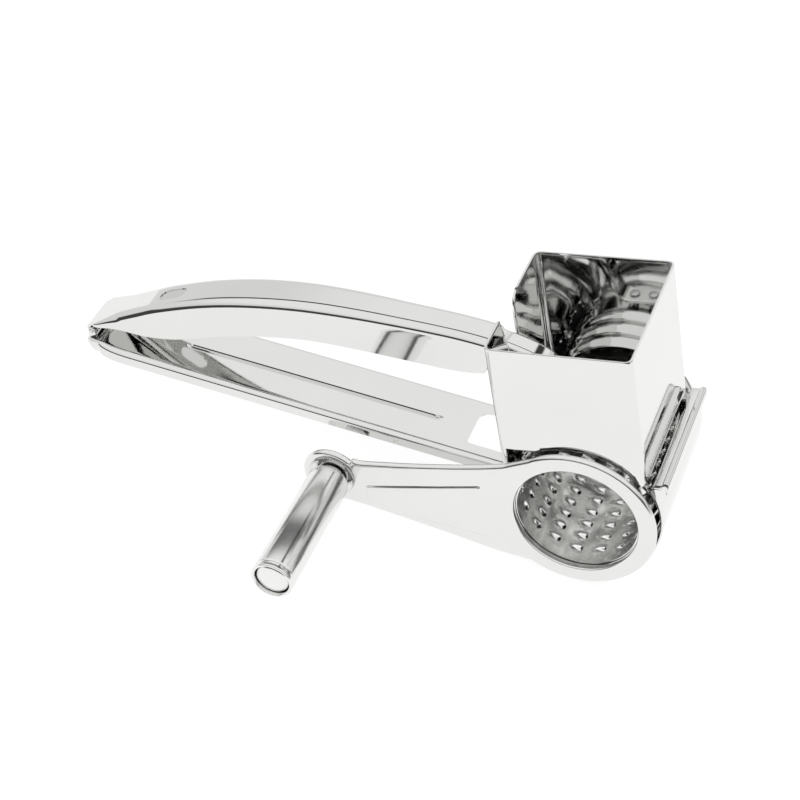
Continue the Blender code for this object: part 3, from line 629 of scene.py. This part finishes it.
def presser():
    """Ribbed plate that holds the cheese against the drum."""
    ribs, height, seat = 6, 1.3, 0.6
    y_start, y_end = 4.6, 51.8
    left_edge, sweep = math.radians(144), math.radians(106)
    radius = PRESSER_RADIUS + SHEET
    length = sweep * radius

    def place(u, y):
        wave = 0.5 - 0.5 * np.cos(2 * math.pi * ribs * (y - y_start) / (y_end - y_start))
        blend = smoothstep((np.abs(y - HANDLE_MIDDLE) - 4.6) / 1.0)
        ends = smoothstep(u / 4.0) * smoothstep((length - u) / 4.0)
        lift = seat * (1 - blend) + height * wave ** 1.2 * blend * ends
        a = left_edge - u / radius
        return np.stack([(radius + lift) * np.cos(a), y, (radius + lift) * np.sin(a)], axis=1)

    corner = 4.0
    outline = (arc(corner, y_start + corner, corner, 180, 270, 8)
               + arc(length - corner, y_start + corner, corner, 270, 360, 8)
               + arc(length - corner, y_end - corner, corner, 0, 90, 8)
               + arc(corner, y_end - corner, corner, 90, 180, 8))
    holes = [arc((left_edge - math.acos(x / radius)) * radius, HANDLE_MIDDLE, 1.5, 0, 340, 17)
             for x in (-1.0, 6.0)]
    points = grid(np.linspace(0.3, length - 0.3, 60), np.linspace(y_start + 0.3, y_end - 0.3, 130))
    flat = cut_flat(resample(outline, 1.0), holes, points, 0.2)
    return sheet_piece("presser_sheet", "pusher", flat, place, MIRROR, stands_for=["presser_plate"])


# ---------------------------------------------------------------- drum
def drum():
    """Barrel with sixteen columns of punched teeth, each a ramp that ends in a cutting mouth."""
    r = DRUM_RADIUS - DRUM_WALL
    around = 2 * math.pi * r
    columns, rows, pitch_v = 16, 7, 6.2
    pitch_u = around / columns
    teeth = [((i + 0.5) * pitch_u, DRUM_FRONT + 6.6 + j * pitch_v + 0.7 * (i % 2)) for i in range(columns)
             for j in range(rows)]
    tail, crest, half, height = 2.4, 1.2, 1.35, 1.6
    mouth_half = 1.25
    across = (-0.96, -0.8, -0.55, -0.25, 0, 0.25, 0.55, 0.8, 0.96)

    def width(p):
        """Half width of the ramp, p being measured from the tooth's middle towards its mouth."""
        t = np.clip((p + tail) / (crest + tail), 0, 1)
        return half * np.sqrt(1 - (1 - t) ** 4) + 1e-6

    def place(u, v):
        bulge = np.zeros_like(u)
        for cu, cv in teeth:
            p, q = cu - u, v - cv
            near = (p > -tail) & (p < crest + 0.06) & (np.abs(q) < half)
            t = (p[near] + tail) / (crest + tail)
            bulge[near] = height * t ** 0.6 * np.clip(1 - (q[near] / width(p[near])) ** 2, 0, 1) ** 0.7
        reach = r + bulge
        return np.stack([reach * np.cos(u / r), v, -reach * np.sin(u / r)], axis=1)

    holes, inner = [], []
    for cu, cv in teeth:
        mouth = [(crest, q) for q in np.linspace(mouth_half, -mouth_half, 7)]
        mouth += [(crest + 0.15 + 0.85 * math.cos(a), mouth_half * math.sin(a))
                  for a in np.radians(np.arange(-75, 76, 25))]
        holes.append([(cu - p, cv + q) for p, q in mouth])
        for p in np.linspace(-2.2, crest - 0.25, 9):
            inner += [(cu - p, cv + q * width(p)) for q in across]
        inner += [(cu + 0.1 + 2.85 * math.cos(a), cv + 1.7 * math.sin(a))
                  for a in np.radians(np.arange(0, 360, 20))]
    heights = np.linspace(DRUM_FRONT, DRUM_BACK, 49)
    steps = np.linspace(0, around, 127)
    outline = ([(u, DRUM_FRONT) for u in steps[:-1]] + [(around, v) for v in heights[:-1]]
               + [(u, DRUM_BACK) for u in steps[:0:-1]] + [(0, v) for v in heights[:0:-1]])
    base = grid(steps[1:-1], heights[1:-1])
    keep = np.ones(len(base), bool)
    for cu, cv in teeth:
        keep &= ((base[:, 0] - cu) / 3.2) ** 2 + ((base[:, 1] - cv) / 2.0) ** 2 > 1
    flat = cut_flat(outline, holes, np.concatenate([base[keep], np.array(inner)]), 0.05)
    return sheet_piece("drum_teeth", "drum", flat, place, DRUM, "drum_steel", thickness=0.5, edge=0,
                       angle=50, stands_for=["drum_barrel"], weld=0.01, even=False)


def drum_ends():
    """The drum's dished back plate and the band round its mouth."""
    r, wall = DRUM_RADIUS, DRUM_WALL
    y = DRUM_BACK - 1.4
    disc = [(3.3, y), (8.0, y), (8.8, y - 0.5), (9.8, y - 0.5), (10.6, y), (19.4, y), (20.2, y - 0.35),
            (21.0, y - 0.35), (21.5, y), (r - wall - 0.3, y), (r - wall - 0.3, y + 1.0), (3.3, y + 1.0)]
    turned_piece("drum_back_plate", "drum", disc, DRUM, stands_for=["drum_back_disc"])
    band = [(r + 0.3, -0.7), (r + 1.7, -0.7), (r + 1.9, -0.5), (r + 1.9, 1.2), (r + 1.7, 1.4),
            (r + 0.3, 1.4)]
    turned_piece("drum_rim_ring", "drum", band, MIRROR, stands_for=["drum_rim_band"])


# ---------------------------------------------------------------- crank and grip
def crank_outline():
    """Ring and arm in one loop, the arm's sides eased into the ring and into the round end."""
    outline = arc(0, 0, RING_RADIUS, -130, 118, 120)
    top = smooth_path([(-13.3, 25.0), (-22.5, 21.4), (-38.0, 18.6), (-56.0, 16.4), (-70.0, 15.2),
                       (-76.5, 14.8), (-79.6, 15.2), (-81.2, 14.4)], 6)
    outline += top[6:-3]
    outline += arc(PIVOT_X, PIVOT_Z, ARM_END_RADIUS, 42, 285, 70)
    under = smooth_path([(-86.3, -3.6), (-82.0, -4.6), (-72.0, -7.2), (-48.0, -14.0), (-30.0, -19.4),
                         (-18.2, -21.7)], 8)
    outline += under[6:-2]
    return outline


def crank():
    """Ring and arm pressed from one sheet: rolled edge, dished end and an embossed panel."""
    outline = resample(crank_outline(), 0.8)
    edge = np.array(outline)
    panel = resample([(-75.6, -4.6), (-54.7, -8.4), (-33.4, -12.0), (-32.2, -11.0), (-32.4, 10.4),
                      (-33.2, 11.1), (-48.3, 8.7), (-63.6, 6.5), (-75.6, 4.9), (-76.6, 4.0), (-76.8, -3.6)],
                     0.8)
    panel_edge = np.array(panel)
    roll, raise_by, lip = 1.7, 0.55, 0.8
    bore_edge, bore_cut = 22.7, 19.95

    def place(x, z):
        points = np.stack([x, z], axis=1)
        d = np.clip(distance(points, edge), 0, roll)
        y = ARM_FRONT + roll - np.sqrt(np.clip(roll ** 2 - (roll - d) ** 2, 0, None))
        into = distance(points, panel_edge) * np.where(inside(points, panel_edge), 1, -1)
        y = y - raise_by * smoothstep((into + 0.2) / 1.1)
        dish = np.hypot(x - PIVOT_X, z - PIVOT_Z)
        y = y + 0.45 * smoothstep((9.2 - dish) / 1.6)
        # the bore's edge is turned in towards the drum
        reach = np.maximum(np.hypot(x, z), 1e-6)
        past = np.clip(bore_edge - reach, 0, None)
        bend = np.minimum(past / lip, math.pi / 2)
        drop = np.clip(past - lip * math.pi / 2, 0, None)
        radius = np.where(past > 0, bore_edge - lip * np.sin(bend), reach)
        y = y + np.where(past > 0, lip * (1 - np.cos(bend)) + drop, 0)
        return np.stack([x * radius / reach, y, z * radius / reach], axis=1)

    # rings of points where the sheet bends: its edge, the panel, the dish and the bore
    rolled = (0.03, 0.1, 0.22, 0.4, 0.62, 0.88, 1.16, 1.45, 1.75, 2.2)
    raised = (-0.4, -0.2, 0.0, 0.15, 0.3, 0.45, 0.6, 0.75, 0.95, 1.3)
    dished = (7.7, 8.0, 8.2, 8.4, 8.6, 8.8, 9.0)
    turned_in = (20.3, 20.7, 21.1, 21.4, 21.6, 21.8, 22.0, 22.2, 22.45, bore_edge, 23.0, 23.5)
    rings = [offset(outline, d) for d in rolled] + [offset(panel, d) for d in raised]
    rings += [np.array(arc(PIVOT_X, PIVOT_Z, q, 0, 354, 59)) for q in dished]
    rings += [np.array(arc(0, 0, q, 0, 357, 119)) for q in turned_in]
    rings = np.concatenate(rings)
    far = distance(rings, edge)
    base = grid(np.arange(-101, 29, 1.5), np.arange(-29, 29, 1.5))
    clear = (distance(base, edge) > 2.4) & (np.abs(distance(base, panel_edge)) > 1.2)
    clear &= np.abs(np.hypot(base[:, 0] - PIVOT_X, base[:, 1] - PIVOT_Z) - 8.35) > 0.9
    clear &= np.hypot(base[:, 0], base[:, 1]) > 24.0
    holes = [arc(0, 0, bore_cut, 0, 357, 119), arc(PIVOT_X, PIVOT_Z, PIN_RADIUS + 0.3, 0, 345, 23)]
    flat = cut_flat(outline, holes, np.concatenate([rings, base[clear]]), 0.02)
    return sheet_piece("crank_sheet", "drum", flat, place, ARM, thickness=0.9, edge=0, angle=50,
                       even=False, stands_for=["crank_arm"])


def grip():
    """Tube with a rolled groove near its end, the cap pressed into it, and the washer behind it."""
    r, p = GRIP_RADIUS, PIN_RADIUS
    centre = (PIVOT_X, PIVOT_Z)
    end, start, wall, rim = GRIP_END, GRIP_START, 0.8, 0.6
    tube = [(r - 1.0, start), (r - 0.5, start - 0.1), (r - 0.15, start - 0.4), (r, start - 0.9)]
    tube += [(r, end + 3.2), (r - 0.1, end + 2.9), (r - 0.28, end + 2.7), (r - 0.1, end + 2.5),
             (r, end + 2.2), (r, end + 1.3)]
    tube += [(r - rim + rim * math.cos(a), end + rim - rim * math.sin(a))
             for a in np.radians(np.arange(0, 181, 22.5))]
    tube += [(r - 1.15, end + 2.2), (r - wall - 0.1, end + 3.4), (r - wall, end + 4.4),
             (r - wall, start - 0.4), (r - 1.0, start - 0.2)]
    turned_piece("grip_sleeve", "grip", tube, GRIP, centre=centre, angle=50, stands_for=["grip_tube"],
                 edge=0)
    cap = [(0, end + 0.05), (1.8, end + 0.12), (3.4, end + 0.32), (4.8, end + 0.65), (5.6, end + 1.0),
           (5.95, end + 1.5), (6.0, end + 2.2), (6.0, end + 6.4), (5.4, end + 6.4), (5.4, end + 2.6),
           (4.6, end + 1.9), (0, end + 1.4)]
    turned_piece("grip_cap", "grip", cap, GRIP, centre=centre, angle=50, stands_for=["grip_end_cap"],
                 edge=0)
    front, back = ARM_FRONT - 1.2, ARM_FRONT - 0.3
    washer = [(p + 0.3, back), (p + 0.3, front), (5.4, front), (5.6, front + 0.2), (5.6, back - 0.2),
              (5.4, back)]
    turned_piece("grip_spacer", "drum", washer, SATIN, centre=centre,
                 stands_for=["grip_washer"])


hopper()
cradle()
rear_cover()
presser()
drum()
drum_ends()
crank()
grip()

# ---------------------------------------------------------------- finish of the CAD nodes that stay
KEPT = {
    "hinge_barrel": MIRROR, "axle_cap_nut": MIRROR, "rear_bearing_bush": BRONZE,
    "grip_bush_inner": NYLON, "grip_bush_outer": NYLON,
}
for name, cad in frame["nodes"].items():
    if cad.hide_render:
        continue
    cad.data.materials.clear()
    cad.data.materials.append(KEPT.get(name, SATIN))


# ---------------------------------------------------------------- floor, light and camera
def floor():
    mesh = bpy.data.meshes.new("floor")
    size = 0.6
    corners = [(-size, -size, 0), (size, -size, 0), (size, size, 0), (-size, size, 0)]
    mesh.from_pydata(corners, [], [(0, 1, 2, 3)])
    piece = bpy.data.objects.new("floor", mesh)
    bpy.context.scene.collection.objects.link(piece)
    material = bpy.data.materials.new("pale_table")
    material.use_nodes = True
    shader = material.node_tree.nodes["Principled BSDF"]
    shader.inputs["Base Color"].default_value = (0.25, 0.25, 0.25, 1)
    shader.inputs["Roughness"].default_value = 0.9
    shader.inputs["Specular IOR Level"].default_value = 0.0
    shader.inputs["Emission Color"].default_value = (1, 1, 1, 1)
    shader.inputs["Emission Strength"].default_value = 0.86
    mesh.materials.append(material)


def studio():
    """White surround with a few dark gaps between its panels, which the polished steel picks up."""
    world = bpy.data.worlds.new("studio")
    bpy.context.scene.world = world
    world.use_nodes = True
    tree = world.node_tree
    tree.nodes.clear()
    link = tree.links.new
    place = node(tree, "ShaderNodeTexCoord")
    parts = node(tree, "ShaderNodeSeparateXYZ")
    link(place.outputs["Generated"], parts.inputs["Vector"])

    def math_node(operation, a, b=None):
        made = node(tree, "ShaderNodeMath", operation=operation)
        for socket, value in zip(made.inputs, (a, b)):
            if value is None:
                continue
            if isinstance(value, (int, float)):
                socket.default_value = value
            else:
                link(value, socket)
        return made.outputs[0]

    def window(value, low, high, soft):
        """1 between low and high, falling to 0 over soft on either side."""
        made = []
        for a, b in ((low - soft, low), (high + soft, high)):
            ramp = node(tree, "ShaderNodeMapRange", interpolation_type="SMOOTHSTEP")
            ramp.inputs["From Min"].default_value, ramp.inputs["From Max"].default_value = a, b
            link(value, ramp.inputs["Value"])
            made.append(ramp.outputs["Result"])
        return math_node("MULTIPLY", *made)

    height = parts.outputs["Z"]
    # the same direction in the upright frame, as an angle about the drum's axis
    across = math_node("ADD", math_node("MULTIPLY", parts.outputs["X"], math.cos(TILT)),
                       math_node("MULTIPLY", height, math.sin(TILT)))
    above = math_node("SUBTRACT", math_node("MULTIPLY", height, math.cos(TILT)),
                      math_node("MULTIPLY", parts.outputs["X"], math.sin(TILT)))
    around = math_node("ARCTAN2", above, across)
    behind = window(parts.outputs["Y"], 0.25, 2.0, 0.1)
    # gaps between the panels: middle, half width and softness in degrees, and depth
    gaps = [(58.6, 3.2, 2.5, 0.95), (27, 3, 6, 0.25), (-20, 7, 9, 0.66)]
    light = None
    for turn, half, soft, depth in gaps:
        mask = window(around, math.radians(turn - half), math.radians(turn + half), math.radians(soft))
        keep = math_node("SUBTRACT", 1.0, math_node("MULTIPLY", math_node("MULTIPLY", mask, behind), depth))
        light = keep if light is None else math_node("MULTIPLY", light, keep)
    # a thin dark seam high up at the back, along the handles
    seam = math_node("MULTIPLY", window(parts.outputs["Y"], 0.44, 0.60, 0.03),
                     window(height, 0.35, 2.0, 0.1))
    light = math_node("MULTIPLY", light, math_node("SUBTRACT", 1.0, math_node("MULTIPLY", seam, 0.9)))
    # a dark room beyond the front edge of the table
    room = math_node("MULTIPLY", window(parts.outputs["Y"], -2.0, -0.30, 0.15),
                     window(height, -1.0, 0.24, 0.08))
    light = math_node("MULTIPLY", light, math_node("SUBTRACT", 1.0, math_node("MULTIPLY", room, 0.93)))
    # backdrop is a little greyer than the overhead panel
    top = window(height, 0.62, 2.0, 0.25)
    level = math_node("ADD", 1.02, math_node("MULTIPLY", top, 0.20))
    light = math_node("MULTIPLY", light, level)
    path = node(tree, "ShaderNodeLightPath")
    seen = math_node("MAXIMUM", light, path.outputs["Is Camera Ray"])
    background = node(tree, "ShaderNodeBackground")
    link(seen, background.inputs["Strength"])
    output = node(tree, "ShaderNodeOutputWorld")
    link(background.outputs["Background"], output.inputs["Surface"])


def camera():
    """Camera in front and above; shift is where it sees the upright frame's origin, in millimetres."""
    azimuth, elevation, roll = (math.radians(a) for a in (27.686, 37.338, -11.518))
    shift = Vector((60.401, -39.233, 669.316))
    right = Vector((math.cos(azimuth), math.sin(azimuth), 0))
    ahead = Vector((-math.sin(azimuth) * math.cos(elevation), math.cos(azimuth) * math.cos(elevation),
                    -math.sin(elevation)))
    up = right.cross(ahead)
    c, s = math.cos(roll), math.sin(roll)
    right, up = c * right + s * up, -s * right + c * up
    place = -(shift.x * right + shift.y * up + shift.z * ahead)
    data = bpy.data.cameras.new("camera")
    data.sensor_width = 36.0
    data.lens = 88.5087
    data.clip_start, data.clip_end = 0.05, 20.0
    made = bpy.data.objects.new("camera", data)
    bpy.context.scene.collection.objects.link(made)
    turn = Matrix((TURN @ right, TURN @ up, -(TURN @ ahead))).transposed()
    made.matrix_world = Matrix.Translation(UPRIGHT @ place) @ turn.to_4x4()
    bpy.context.scene.camera = made


floor()
studio()
camera()
bpy.context.scene.view_settings.view_transform = "Standard"
